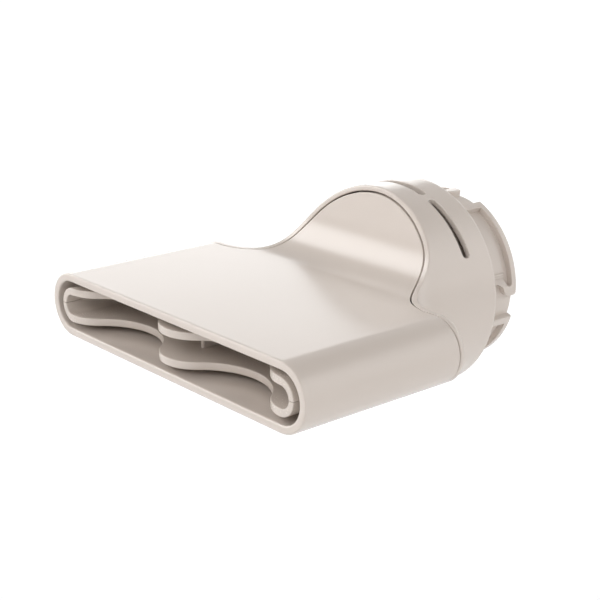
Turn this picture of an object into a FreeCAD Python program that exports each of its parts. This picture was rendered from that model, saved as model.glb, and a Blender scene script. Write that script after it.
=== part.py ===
"""Hair dryer concentrator nozzle: a flat double-walled air nozzle on a round bayonet collar.

Millimetres.  The air axis is Y, with the flat mouth at the -Y end and the dryer at the +Y end.
The origin is the centre of the seat that meets the dryer's barrel.  Lengths along the axis are
written from the mouth, and every piece is moved to the seat when it is saved.
"""
import FreeCAD, Part
import math
import os
from FreeCAD import Vector

# Blade: the flat front of the shell, a slot section with half-round ends
MOUTH_WIDTH = 80.0
MOUTH_HEIGHT = 13.16
SHELL_WALL = 1.6
BLADE_LENGTH = 37.5
MOUTH_EDGE = 0.4

# Hood: the concave rise from the blade's flat faces to the round collar, the same above and below
HOOD_LEAD = 2.7
HOOD_RADIUS = 11.9
HOOD_SLOPE = 71.7

# Collar: a thin sleeve that flares into a flange behind the blade's wings
COLLAR_LENGTH = 29.4
COLLAR_RADIUS = 22.5
COLLAR_WALL = 1.1
COLLAR_EDGE = 0.5
FLARE_RADIUS = 10.0
SEAM_GAP = 0.3
STOP_RIB_WIDTH = 1.0
STOP_RIB_DEPTH = 0.75

# Vents: long slots round the collar, in an upper and a lower group
VENT_TO_SEAT = 6.6
VENT_WIDTH = 1.9
VENT_SPAN = 38.4
VENT_PITCH = 43.3
VENTS_PER_GROUP = 3
VENT_LEAD = 1.9

# Bayonet base: the plate that closes the collar and the ring that enters the dryer
PLATE_THICKNESS = 2.5
PLATE_CLEARANCE = 0.1
RING_WALL = 1.6
RING_BORE = 16.0
RING_LENGTH = 10.2
RING_EDGE = 0.2

# Lugs: brackets on the ring, two short and two long; in each a block, a rail along the ring's end and a
# hooked end stand round a pocket whose floor rises into the hook, with a groove left along the rail; the
# hook is measured from the seat
LUG_HEIGHT = 1.3
LUG_FIRST = 24.0
LUG_SPAN = 68.8
LONG_LUG_SPAN = 78.9
LUG_GAP = 15.5
LUG_CHANNEL = 2.6
BLOCK_SPAN = 5.3
RAIL_WIDTH = 1.35
HOOK_SPAN = 9.5
HOOK_START = 4.3
HOOK_END = 8.4
RAMP_SPAN = 5.5
RAMP_TO_TIP = 12.2
GROOVE_WIDTH = 1.4
GROOVE_TO_TIP = 6.4
DETENT_TO_TIP = 14.8
DETENT_WIDTH = 0.6
DETENT_HEIGHT = 0.25
DETENT_LENGTH = 5.1

# Inner duct: follows the shell inside, from a round inlet to a flat slot, in two halves
AIR_GAP = 1.33
END_GAP = 1.7
DUCT_WALL = 1.55
DUCT_END_WALL = 1.3
DUCT_SETBACK = 0.15
SOCKET_DEPTH = 1.5
SOCKET_CLEARANCE = 0.1
PARTING_GAP = 0.1

# Scallops: two valleys in the duct's front edge, with a crest between them and one at each end
SCALLOP_DEPTH = 7.85
SCALLOP_RADIUS = 14.0
VANE_THICKNESS = 1.0
VANE_SETBACK = 8.4
VANE_LENGTH = 30.0

# Sizes that follow from those above
AXIS = Vector(0, 1, 0)
ORIGIN = Vector(0, 0, 0)
HALF_HEIGHT = MOUTH_HEIGHT / 2
HOOD_START = BLADE_LENGTH + HOOD_LEAD
FLANGE_BACK = BLADE_LENGTH + COLLAR_WALL
BODY_LENGTH = BLADE_LENGTH + COLLAR_LENGTH
SOCKET_RADIUS = COLLAR_RADIUS - COLLAR_WALL
SHELL_INSET = COLLAR_WALL + SEAM_GAP
VENT_CENTRE = BODY_LENGTH - VENT_TO_SEAT
TUBE_END = VENT_CENTRE - VENT_WIDTH / 2 - VENT_LEAD
PLATE_FRONT = BODY_LENGTH - PLATE_THICKNESS
RING_RADIUS = RING_BORE + RING_WALL
RING_END = BODY_LENGTH + RING_LENGTH
LUG_RADIUS = RING_RADIUS + LUG_HEIGHT
LUG_FRONT = BODY_LENGTH + LUG_CHANNEL
DUCT_INSET = SHELL_WALL + AIR_GAP
DUCT_WIDTH = MOUTH_WIDTH - 2 * (SHELL_WALL + END_GAP)
DUCT_RADIUS = COLLAR_RADIUS - SHELL_INSET - DUCT_INSET
DUCT_END = PLATE_FRONT + SOCKET_DEPTH
CREST_SPACING = MOUTH_WIDTH / 2 - HALF_HEIGHT
OVERRUN = 2.0
REACH = MOUTH_WIDTH
TOUCH = 0.001


def polygon(points):
    return Part.Face(Part.makePolygon(points + points[:1]))


def disc(radius, start, end):
    return Part.makeCylinder(radius, end - start, Vector(0, start, 0), AXIS)


def tube(outer, inner, start, end):
    return disc(outer, start, end).cut(disc(inner, start, end))


def slot_bar(width, height, start, end):
    """Bar along the air axis with flat faces above and below and half-round ends."""
    r = height / 2
    c = width / 2 - r
    corners = [Vector(-c, start, r), Vector(c, start, r), Vector(c, start, -r), Vector(-c, start, -r)]
    outline = Part.Wire([
        Part.makeLine(corners[0], corners[1]),
        Part.Arc(corners[1], Vector(c + r, start, 0), corners[2]).toShape(),
        Part.makeLine(corners[2], corners[3]),
        Part.Arc(corners[3], Vector(-c - r, start, 0), corners[0]).toShape(),
    ])
    return Part.Face(outline).extrude(AXIS * (end - start))


def hood_region(inset, start, end):
    """All that lies between the upper and lower hood surfaces, moved inwards by inset."""
    slope = math.radians(HOOD_SLOPE)
    radius = HOOD_RADIUS + inset
    centre_z = HALF_HEIGHT + HOOD_RADIUS

    def on_arc(angle):
        return HOOD_START + radius * math.sin(angle), centre_z - radius * math.cos(angle)

    lift_y, lift_z = on_arc(slope)
    crest_z = COLLAR_RADIUS + OVERRUN
    crest_y = lift_y + (crest_z - lift_z) / math.tan(slope)
    path = [(start, HALF_HEIGHT - inset), on_arc(0), on_arc(slope / 2), (lift_y, lift_z),
            (crest_y, crest_z), (end, crest_z)]
    edges = []
    for side in (1, -1):
        p = [Vector(-REACH, y, side * z) for y, z in path]
        edges += [Part.makeLine(p[0], p[1]), Part.Arc(p[1], p[2], p[3]).toShape()]
        edges += [Part.makeLine(p[3], p[4]), Part.makeLine(p[4], p[5])]
    for y, z in (path[0], path[-1]):
        edges.append(Part.makeLine(Vector(-REACH, y, z), Vector(-REACH, y, -z)))
    outline = Part.Wire(Part.__sortEdges__(edges))
    return Part.Face(outline).extrude(Vector(2 * REACH, 0, 0))


def trumpet(inset, start, end):
    """Solid inside the collar's flared outside, moved inwards by inset."""
    radius = FLARE_RADIUS + inset
    throat = COLLAR_RADIUS - inset
    plane = FLANGE_BACK - inset
    centre = Vector(throat + radius, plane + radius, 0)
    flange_edge = Vector(centre.x, plane, 0)
    throat_edge = Vector(throat, centre.y, 0)
    on_flare = centre - Vector(radius, radius, 0) * math.sqrt(0.5)
    outline = Part.Wire([
        Part.makeLine(Vector(0, start, 0), Vector(REACH, start, 0)),
        Part.makeLine(Vector(REACH, start, 0), Vector(REACH, plane, 0)),
        Part.makeLine(Vector(REACH, plane, 0), flange_edge),
        Part.Arc(flange_edge, on_flare, throat_edge).toShape(),
        Part.makeLine(throat_edge, Vector(throat, end, 0)),
        Part.makeLine(Vector(throat, end, 0), Vector(0, end, 0)),
        Part.makeLine(Vector(0, end, 0), Vector(0, start, 0)),
    ])
    return Part.Face(outline).revolve(ORIGIN, AXIS, 360)


def layer(width, inset, start, end):
    """Blade and round body in one, inset from the nozzle's outside and open to the trumpet."""
    blade = slot_bar(width, MOUTH_HEIGHT - 2 * inset, start, end)
    body = blade.fuse(disc(COLLAR_RADIUS + FLARE_RADIUS, HOOD_START, end))
    return body.common(hood_region(inset, start - OVERRUN, end + OVERRUN))


def sector(radius_in, radius_out, start, end, first, span):
    """Part of a ring; angles run from +Z towards +X."""
    section = polygon([
        Vector(0, start, radius_in),
        Vector(0, end, radius_in),
        Vector(0, end, radius_out),
        Vector(0, start, radius_out),
    ])
    ring = section.revolve(ORIGIN, AXIS, span)
    ring.rotate(ORIGIN, AXIS, first)
    return ring


def round_slot(radius_in, radius_out, y, width, first, span):
    """Cutter for a slot round the axis with round ends; angles run from +Z towards +X."""
    half = width / 2
    end_angle = math.degrees(half / radius_out)
    cutter = sector(radius_in, radius_out, y - half, y + half, first + end_angle, span - 2 * end_angle)
    for angle in (first + end_angle, first + span - end_angle):
        cap = Part.makeCylinder(half, radius_out - radius_in, Vector(0, y, radius_in), Vector(0, 0, 1))
        cap.rotate(ORIGIN, AXIS, angle)
        cutter = cutter.fuse(cap)
    return cutter


def edges_at(shape, y, radius=None):
    """Edges in one plane square to the air axis, all of them or those of one radius."""
    flat = [e for e in shape.Edges if abs(e.BoundBox.YMin - y) < TOUCH and abs(e.BoundBox.YMax - y) < TOUCH]
    if radius is None:
        return flat
    return [e for e in flat if isinstance(e.Curve, Part.Circle) and abs(e.Curve.Radius - radius) < TOUCH]


def nozzle_shell():
    outside = layer(MOUTH_WIDTH, 0, 0, TUBE_END)
    outside = outside.common(trumpet(SHELL_INSET, -OVERRUN, TUBE_END))
    cavity = layer(MOUTH_WIDTH - 2 * SHELL_WALL, SHELL_WALL, -OVERRUN, TUBE_END + OVERRUN)
    cavity = cavity.common(trumpet(SHELL_INSET + SHELL_WALL, -2 * OVERRUN, TUBE_END + OVERRUN))
    shell = outside.cut(cavity).removeSplitter()
    return shell.makeFillet(MOUTH_EDGE, edges_at(shell, 0))


def rear_collar():
    sleeve = trumpet(0, HALF_HEIGHT, BODY_LENGTH)
    sleeve = sleeve.makeFillet(COLLAR_EDGE, edges_at(sleeve, BODY_LENGTH, COLLAR_RADIUS))
    sleeve = sleeve.cut(trumpet(COLLAR_WALL, 0, BODY_LENGTH + OVERRUN))
    collar = sleeve.common(layer(MOUTH_WIDTH, 0, HALF_HEIGHT, BODY_LENGTH + OVERRUN))
    rib_bore = SOCKET_RADIUS - STOP_RIB_DEPTH
    for start in (TUBE_END, PLATE_FRONT - STOP_RIB_WIDTH):
        collar = collar.fuse(tube(SOCKET_RADIUS, rib_bore, start, start + STOP_RIB_WIDTH))
    for group in (0, 180):
        for i in range(VENTS_PER_GROUP):
            middle = group + (i - (VENTS_PER_GROUP - 1) / 2) * VENT_PITCH
            collar = collar.cut(round_slot(rib_bore, COLLAR_RADIUS + OVERRUN, VENT_CENTRE, VENT_WIDTH,
                                           middle - VENT_SPAN / 2, VENT_SPAN))
    return collar


def hook_cutter(tip):
    """Cutter that gives a lug its hooked end, an S-curve of two equal arcs."""
    width = LUG_RADIUS * math.sin(math.radians(HOOK_SPAN))
    start, end = BODY_LENGTH + HOOK_START, BODY_LENGTH + HOOK_END
    middle = (start + end) / 2
    turn = 2 * math.atan2(width, end - start)
    bend = (middle - start) / math.sin(turn)
    inner = Vector(-width + bend * (1 - math.cos(turn / 2)), start + bend * math.sin(turn / 2), 0)
    outer = Vector(-width - inner.x, start + end - inner.y, 0)
    low = LUG_FRONT - OVERRUN
    corners = [Vector(0, end, 0), Vector(OVERRUN, end, 0), Vector(OVERRUN, low, 0), Vector(-width, low, 0),
               Vector(-width, start, 0)]
    edges = [Part.makeLine(a, b) for a, b in zip(corners, corners[1:])]
    edges.append(Part.Arc(corners[-1], inner, Vector(-width / 2, middle, 0)).toShape())
    edges.append(Part.Arc(Vector(-width / 2, middle, 0), outer, corners[0]).toShape())
    cutter = Part.Face(Part.Wire(edges)).extrude(Vector(0, 0, LUG_RADIUS + OVERRUN))
    cutter.rotate(ORIGIN, AXIS, tip)
    return cutter


def pocket_cutter(first, tip):
    """Cutter for a lug's pocket, open towards the seat, with a ramp and a groove beside the rail at its end."""
    low, high = LUG_FRONT - OVERRUN, RING_END - RAIL_WIDTH
    start, ramp = first + BLOCK_SPAN, tip - RAMP_TO_TIP
    pocket = sector(RING_RADIUS, LUG_RADIUS + OVERRUN, low, high, start, ramp - start)

    def at(radius, angle):
        return Vector(radius * math.sin(math.radians(angle)), low, radius * math.cos(math.radians(angle)))

    wedge = polygon([at(RING_RADIUS, ramp), at(LUG_RADIUS, ramp + RAMP_SPAN),
                     at(LUG_RADIUS + OVERRUN, ramp + RAMP_SPAN), at(LUG_RADIUS + OVERRUN, ramp)])
    groove = round_slot(RING_RADIUS, LUG_RADIUS + OVERRUN, high - GROOVE_WIDTH / 2, GROOVE_WIDTH,
                        ramp - RAMP_SPAN, RAMP_SPAN + RAMP_TO_TIP - GROOVE_TO_TIP)
    return pocket.fuse([wedge.extrude(AXIS * (high - low)), groove]).removeSplitter()


def lug(first, span):
    """One bayonet lug with its pocket, hook and detent rib, from the angle first onwards."""
    tip = first + span
    band = sector(RING_BORE, LUG_RADIUS, LUG_FRONT, RING_END, first, span)
    band = band.makeChamfer(RING_EDGE, edges_at(band, RING_END, LUG_RADIUS))
    band = band.cut(pocket_cutter(first, tip)).cut(hook_cutter(tip))
    half = math.degrees(DETENT_WIDTH / 2 / RING_RADIUS)
    detent = sector(RING_BORE, RING_RADIUS + DETENT_HEIGHT, LUG_FRONT, LUG_FRONT + DETENT_LENGTH,
                    tip - DETENT_TO_TIP - half, 2 * half)
    return band.fuse(detent)


def bayonet_base():
    ring = disc(RING_RADIUS, PLATE_FRONT, RING_END)
    ring = ring.makeChamfer(RING_EDGE, edges_at(ring, RING_END))
    base = disc(SOCKET_RADIUS - PLATE_CLEARANCE, PLATE_FRONT, BODY_LENGTH).fuse(ring)
    for half_turn in (0, 180):
        base = base.fuse(lug(LUG_FIRST + half_turn, LUG_SPAN))
        base = base.fuse(lug(LUG_FIRST + LUG_SPAN + LUG_GAP + half_turn, LONG_LUG_SPAN))
    base = base.cut(disc(RING_BORE, PLATE_FRONT - OVERRUN, RING_END + OVERRUN))
    return base.cut(disc(DUCT_RADIUS + SOCKET_CLEARANCE, PLATE_FRONT - OVERRUN, DUCT_END))


def scallop_cutter():
    """Everything in front of the duct's wavy front edge, the same through its whole height."""
    valley_x = CREST_SPACING / 2
    crest_radius = (valley_x ** 2 + SCALLOP_DEPTH ** 2) / (2 * SCALLOP_DEPTH) - SCALLOP_RADIUS
    turn = math.asin(valley_x / (crest_radius + SCALLOP_RADIUS))
    valley_y = DUCT_SETBACK + SCALLOP_DEPTH

    def crest(x, angle):
        return Vector(x + crest_radius * math.sin(angle),
                      DUCT_SETBACK + crest_radius * (1 - math.cos(angle)), -HALF_HEIGHT)

    edges = []
    for side in (1, -1):
        middle = side * CREST_SPACING / 2
        for x, way in ((0, side), (side * CREST_SPACING, -side)):
            edges.append(Part.Arc(crest(x, 0), crest(x, way * turn / 2), crest(x, way * turn)).toShape())
        edges.append(Part.Arc(crest(0, side * turn), Vector(middle, valley_y, -HALF_HEIGHT),
                              crest(side * CREST_SPACING, -side * turn)).toShape())
        corner = Vector(side * MOUTH_WIDTH, DUCT_SETBACK, -HALF_HEIGHT)
        front = Vector(corner.x, -OVERRUN, -HALF_HEIGHT)
        edges.append(Part.makeLine(crest(side * CREST_SPACING, 0), corner))
        edges.append(Part.makeLine(corner, front))
        edges.append(Part.makeLine(front, Vector(0, front.y, front.z)))
    outline = Part.Wire(Part.__sortEdges__(edges))
    return Part.Face(outline).extrude(Vector(0, 0, MOUTH_HEIGHT))


def inner_duct():
    """Upper and lower half of the duct."""
    inside_inset = DUCT_INSET + DUCT_WALL
    outside = layer(DUCT_WIDTH, DUCT_INSET, 0, DUCT_END)
    outside = outside.common(trumpet(SHELL_INSET + DUCT_INSET, -OVERRUN, DUCT_END))
    inside = layer(DUCT_WIDTH - 2 * DUCT_END_WALL, inside_inset, -OVERRUN, DUCT_END + OVERRUN)
    inside = inside.common(trumpet(SHELL_INSET + inside_inset, -2 * OVERRUN, DUCT_END + OVERRUN))
    nose = VANE_THICKNESS / 2
    vane = Part.makeBox(VANE_THICKNESS, VANE_LENGTH - nose, MOUTH_HEIGHT,
                        Vector(-nose, VANE_SETBACK + nose, -HALF_HEIGHT))
    vane = vane.fuse(Part.makeCylinder(nose, MOUTH_HEIGHT, Vector(0, VANE_SETBACK + nose, -HALF_HEIGHT)))
    duct = outside.cut(inside.cut(vane)).cut(scallop_cutter())
    halves = []
    for side in (1, -1):
        half_space = Part.makeBox(2 * REACH, 2 * REACH, REACH,
                                  Vector(-REACH, -OVERRUN, PARTING_GAP / 2))
        if side < 0:
            half_space.rotate(ORIGIN, AXIS, 180)
        halves.append(duct.common(half_space))
    return halves


def save(shape, name):
    placed = shape.removeSplitter()
    placed.translate(Vector(0, -BODY_LENGTH, 0))
    placed.exportStep("parts/" + name + ".step")
    print(name, "valid", placed.isValid(), "solids", len(placed.Solids), "volume", round(placed.Volume, 1))


if __name__ == "__main__":
    os.makedirs("parts", exist_ok=True)
    upper, lower = inner_duct()
    save(nozzle_shell(), "nozzle_shell")
    save(rear_collar(), "rear_collar")
    save(bayonet_base(), "bayonet_base")
    save(upper, "inner_duct_upper")
    save(lower, "inner_duct_lower")
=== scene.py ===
"""Concentrator nozzle for a hair dryer: its moulded pieces, their satin plastic and a white studio."""
import math

import bmesh
import bpy
import numpy as np
from bpy.props import FloatProperty, FloatVectorProperty, IntProperty, PointerProperty
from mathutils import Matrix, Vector


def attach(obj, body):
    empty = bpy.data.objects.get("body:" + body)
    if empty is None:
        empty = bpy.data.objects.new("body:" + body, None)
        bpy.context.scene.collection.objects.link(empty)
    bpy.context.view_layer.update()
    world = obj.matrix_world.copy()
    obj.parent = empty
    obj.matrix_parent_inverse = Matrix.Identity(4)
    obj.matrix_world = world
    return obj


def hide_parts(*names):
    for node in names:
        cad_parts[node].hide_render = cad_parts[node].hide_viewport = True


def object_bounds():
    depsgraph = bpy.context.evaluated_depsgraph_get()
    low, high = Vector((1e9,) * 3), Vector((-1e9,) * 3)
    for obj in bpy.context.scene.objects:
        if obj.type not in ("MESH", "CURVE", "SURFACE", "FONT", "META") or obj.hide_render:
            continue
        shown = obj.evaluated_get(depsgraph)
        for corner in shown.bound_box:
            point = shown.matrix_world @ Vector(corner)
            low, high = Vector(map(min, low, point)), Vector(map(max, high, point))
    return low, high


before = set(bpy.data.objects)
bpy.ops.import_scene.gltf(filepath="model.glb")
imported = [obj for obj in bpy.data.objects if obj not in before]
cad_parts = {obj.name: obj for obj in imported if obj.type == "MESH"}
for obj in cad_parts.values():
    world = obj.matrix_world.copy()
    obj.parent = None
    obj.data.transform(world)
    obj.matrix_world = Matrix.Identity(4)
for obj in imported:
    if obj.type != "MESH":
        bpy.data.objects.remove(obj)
CAD_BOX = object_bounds()

bl_info = {
    "name": "Concentrator nozzle",
    "version": (1, 0, 0),
    "blender": (4, 5, 0),
    "location": "View3D > Sidebar > Nozzle",
    "description": "Builds a flat hair dryer nozzle with its collar, bayonet ring, inner duct and studio",
    "category": "Add Mesh",
}


def length(label, words, millimetres):
    return FloatProperty(name=label, description=words, default=millimetres / 1000, min=0.0,
                         precision=5, subtype="DISTANCE", unit="LENGTH")


def angle(label, words, degrees):
    return FloatProperty(name=label, description=words, default=math.radians(degrees),
                         precision=3, subtype="ANGLE", unit="ROTATION")


def share(label, words, value):
    return FloatProperty(name=label, description=words, default=value, min=0.0, max=1.0, subtype="FACTOR")


def level(label, words, value):
    return FloatProperty(name=label, description=words, default=value, min=0.0)


def count(label, words, value):
    return IntProperty(name=label, description=words, default=value, min=1)


def colour(label, words, value):
    return FloatVectorProperty(name=label, description=words, default=value, size=3, min=0.0, max=1.0,
                               subtype="COLOR")


# White sweep round the nozzle: height in degrees, light, lean of the light to one side and that side's turn.
SWEEP_BELTS = ((0.0, 2.00, 0.53, 222.0), (9.0, 1.53, 0.68, 137.0), (18.0, 1.05, 1.0, 120.0),
               (27.0, 0.99, 0.90, 4.0), (38.0, 0.98, 0.73, 347.0))
SWEEP_TOP = 50.0
# Round soft boxes: turn, height, half angle and soft edge in degrees, light.
SOFT_BOXES = ((200.0, 35.0, 17.0, 10.0, 4.28), (270.0, 42.0, 17.0, 10.0, 2.1), (0.0, 90.0, 12.0, 4.0, 2.3))
WHITE = (1.0, 1.0, 1.0, 1.0)

# Paper floor: half its side in metres, scale of the fibres, tone between them and roughness.
FLOOR_REACH = 6.0
FIBRE_SCALE = 400.0
FIBRE_SHADE = 0.985
PAPER_ROUGHNESS = 0.9

# Camera: focal length and sensor in millimetres, place in metres and line of sight.
CAMERA_LENS = 81.08
CAMERA_SENSOR = 36.0
CAMERA_PLACE = (0.19675, -0.20219, 0.08474)
CAMERA_SIGHT = (-0.7240, 0.6195, -0.3032)

# Texture of the plastics: drift of the tone, size of the grain in metres and strength of its relief.
OUTER_TEXTURE = (0.03, 0.00025, 0.12)
DUCT_TEXTURE = (0.04, 0.0003, 0.15)
# What all plastics share: scale of the slow drift, the noise's detail and middle value, the grain's part of the
# drift, how much drift and grain change the roughness, and the height of the relief in metres.
DRIFT_SCALE = 38.0
NOISE_DETAIL = 2.0
NOISE_MIDDLE = 0.5
GRAIN_TONE = 0.5
DRIFT_ROUGHNESS = 0.08
GRAIN_ROUGHNESS = 0.1
RELIEF_HEIGHT = 0.00002

# Fineness of the meshes: steps along lines and round ends.
SEAM_HALVINGS = 50
WALL_STEPS = 60
LEAD_STEPS = 40
HOOD_STEPS = 420
FLARE_STEPS = 320
FLAT_PLACES = 141
END_PLACES = 15
SHELL_END_PLACES = 17
RING_PLACES = 192
SLOT_STEPS = 40
SLOT_END_STEPS = 13
POCKET_STEPS = 50
GROOVE_END_STEPS = 15
RAMP_LEVELS = 5
HOOK_ROWS = 40
PLAIN_ROWS = 3
BAND_STEPS_PER_RADIAN = 90
FEWEST_BAND_STEPS = 5
NOSE_STEPS = 17
VANE_STEPS = 8
# Bends over a rounded rim, in degrees.
RIM_BENDS = (0, 18, 36, 54, 72, 90)
BAND_BENDS = (0, 22, 45, 68, 90)
# How far the ramp's levels climb up a pocket, how far a cutter stands out, and the rounding of a detent's height.
RAMP_TOP = 0.8
CUTTER_OVERRUN = 1.1
DETENT_ROUNDING = 0.8
# Points this near are one point and edges this short go, in metres; edges are sharp from this angle, in degrees.
MERGE_DISTANCE = 1.5e-6
SHORTEST_EDGE = 1e-7
SHARP_ANGLE = 38
LUGS_OF_A_KIND = 2


class NozzleSizes(bpy.types.PropertyGroup):
    """Sizes of the nozzle; lengths along the air axis start at the mouth."""
    mouth_width: length("Mouth width", "Across the half-round ends of the mouth", 80.0)
    mouth_height: length("Mouth height", "Thickness of the flat blade", 13.16)
    shell_wall: length("Shell wall", "Wall of the outer shell", 1.6)
    mouth_edge: length("Mouth edge", "Rounding of the mouth's rim", 0.4)
    blade_length: length("Blade length", "From the mouth to the collar's flange", 37.5)
    hood_lead: length("Hood lead", "From the flange to where the hood starts to rise", 2.7)
    hood_radius: length("Hood radius", "Concave sweep between blade and hood", 11.9)
    hood_slope: angle("Hood slope", "Steepest slope of the hood", 71.7)
    collar_length: length("Collar length", "From the flange to the seat", 29.4)
    collar_radius: length("Collar radius", "Outside of the round collar", 22.5)
    collar_wall: length("Collar wall", "Wall of the collar and its lip", 1.1)
    collar_edge: length("Collar edge", "Rounding of the collar's rear edge", 0.5)
    lip_edge: length("Lip edge", "Rounding of the collar's front lip", 0.42)
    flare_radius: length("Flare radius", "Concave flare between collar and flange", 10.0)
    seam_gap: length("Seam gap", "Shadow line between shell and collar", 0.3)
    seam_edge: length("Seam edge", "Rounding of the shell along the seam", 0.12)
    rib_depth: length("Rib depth", "Height of the stop ribs inside the collar", 0.75)
    rib_width: length("Rib width", "Width of the stop ribs inside the collar", 1.0)
    vent_to_seat: length("Vent to seat", "From the middle of the vents to the seat", 6.6)
    vent_width: length("Vent width", "Width of a vent slot", 1.9)
    vent_span: angle("Vent span", "Length of a vent slot round the collar", 38.4)
    vent_pitch: angle("Vent pitch", "From one vent to the next above", 43.3)
    under_vent_pitch: angle("Under vent pitch", "From one vent to the next below", 41.0)
    vents_per_group: count("Vents per group", "Vents above, and again below", 3)
    vent_lead: length("Vent lead", "From the end of the shell's tube to the vents", 1.9)
    vent_edge: length("Vent edge", "Rounding of the vents' outer edges", 0.2)
    plate_thickness: length("Plate thickness", "Plate that closes the collar", 2.5)
    plate_clearance: length("Plate clearance", "Between the plate and the collar", 0.1)
    ring_bore: length("Ring bore", "Inside radius of the bayonet ring", 16.0)
    ring_wall: length("Ring wall", "Wall of the bayonet ring", 1.6)
    ring_length: length("Ring length", "From the seat to the end of the ring", 10.2)
    ring_edge: length("Ring edge", "Rounding of the ring and its lugs", 0.2)
    lug_height: length("Lug height", "Height of a lug above the ring", 1.3)
    lug_first: angle("First lug", "Where the first lug starts", 24.0)
    lug_span: angle("Lug span", "Length of a short lug round the ring", 68.8)
    long_lug_span: angle("Long lug span", "Length of a long lug round the ring", 78.9)
    lug_gap: angle("Lug gap", "From a short lug's hook to the next long lug", 15.5)
    lug_channel: length("Lug channel", "From the seat to the lugs", 2.6)
    block_span: angle("Block span", "Length of the block at a lug's start", 5.3)
    rail_width: length("Rail width", "Width of the rail along the ring's end", 1.35)
    hook_span: angle("Hook span", "How far the hook swings back from a lug's tip", 9.5)
    hook_start: length("Hook start", "From the seat to where the hook starts to swing", 4.3)
    hook_end: length("Hook end", "From the seat to where the hook's swing ends", 8.4)
    hook_corner: length("Hook corner", "Rounding of the hook's tip at the ring's end", 0.7)
    ramp_span: angle("Ramp span", "Length of the ramp from a pocket's floor to the hook", 5.5)
    ramp_to_tip: angle("Ramp to tip", "From the start of the ramp to the lug's tip", 12.2)
    groove_width: length("Groove width", "Width of the groove that runs on beside the rail", 1.4)
    groove_to_tip: angle("Groove to tip", "From the end of the groove to the lug's tip", 6.4)
    pocket_edge: length("Pocket edge", "Rounding of a pocket's rim", 0.12)
    detent_to_tip: angle("Detent to tip", "From the detent rib to the lug's tip", 14.8)
    detent_width: length("Detent width", "Width of the detent rib", 0.6)
    detent_height: length("Detent height", "Height of the detent rib", 0.25)
    detent_length: length("Detent length", "Length of the detent rib", 5.1)
    air_gap: length("Air gap", "Between the shell and the inner duct", 1.33)
    end_gap: length("End gap", "Between the shell and the duct at the wing ends", 1.7)
    duct_wall: length("Duct wall", "Wall of the inner duct", 1.55)
    duct_end_wall: length("Duct end wall", "Wall of the duct at the wing ends", 1.3)
    duct_setback: length("Duct setback", "From the mouth to the duct's crests", 0.15)
    duct_edge: length("Duct edge", "Rounding of the duct's front edge", 0.25)
    socket_depth: length("Socket depth", "How far the duct enters the plate", 1.5)
    socket_clearance: length("Socket clearance", "Between the duct and its socket", 0.1)
    parting_gap: length("Parting gap", "Parting line between the duct's halves", 0.1)
    scallop_depth: length("Scallop depth", "From the duct's crests to its valleys", 7.85)
    scallop_radius: length("Scallop radius", "Radius of the duct's valleys", 14.0)
    vane_thickness: length("Vane thickness", "Vane in the middle of the duct", 1.0)
    vane_setback: length("Vane setback", "From the mouth to the vane", 8.4)
    vane_length: length("Vane length", "Length of the vane", 30.0)
    hidden_edge: length("Hidden edge", "Rounding of edges that lie inside", 0.08)


class NozzleFinish(bpy.types.PropertyGroup):
    """Colours of the plastics and of the studio, and its light."""
    stone: colour("Stone", "Satin plastic of shell and collar", (0.622, 0.552, 0.498))
    base_stone: colour("Base stone", "Plastic of the bayonet base", (0.622, 0.552, 0.498))
    # The inner duct's plastic is set a little darker than the shell's, to paint in the shade that falls inside the
    # mouth.
    duct_stone_with_shade: colour("Duct stone with painted shade", "Plastic of the inner duct", (0.60, 0.53, 0.474))
    satin: share("Satin", "Roughness of the outer plastic", 0.2)
    duct_satin: share("Duct satin", "Roughness of the inner duct", 0.25)
    sheen: share("Sheen", "How strongly the plastic mirrors its surroundings", 0.6)
    paper: colour("Paper", "Studio floor", (0.92, 0.92, 0.92))
    floor_drop: length("Floor drop", "From the nozzle's lowest point to the floor", 120.0)
    floor_glow: share("Floor glow", "What the camera and reflections see added to the floor", 0.18)
    light_level: level("Light level", "Strength of the whole studio light", 1.0)


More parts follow.
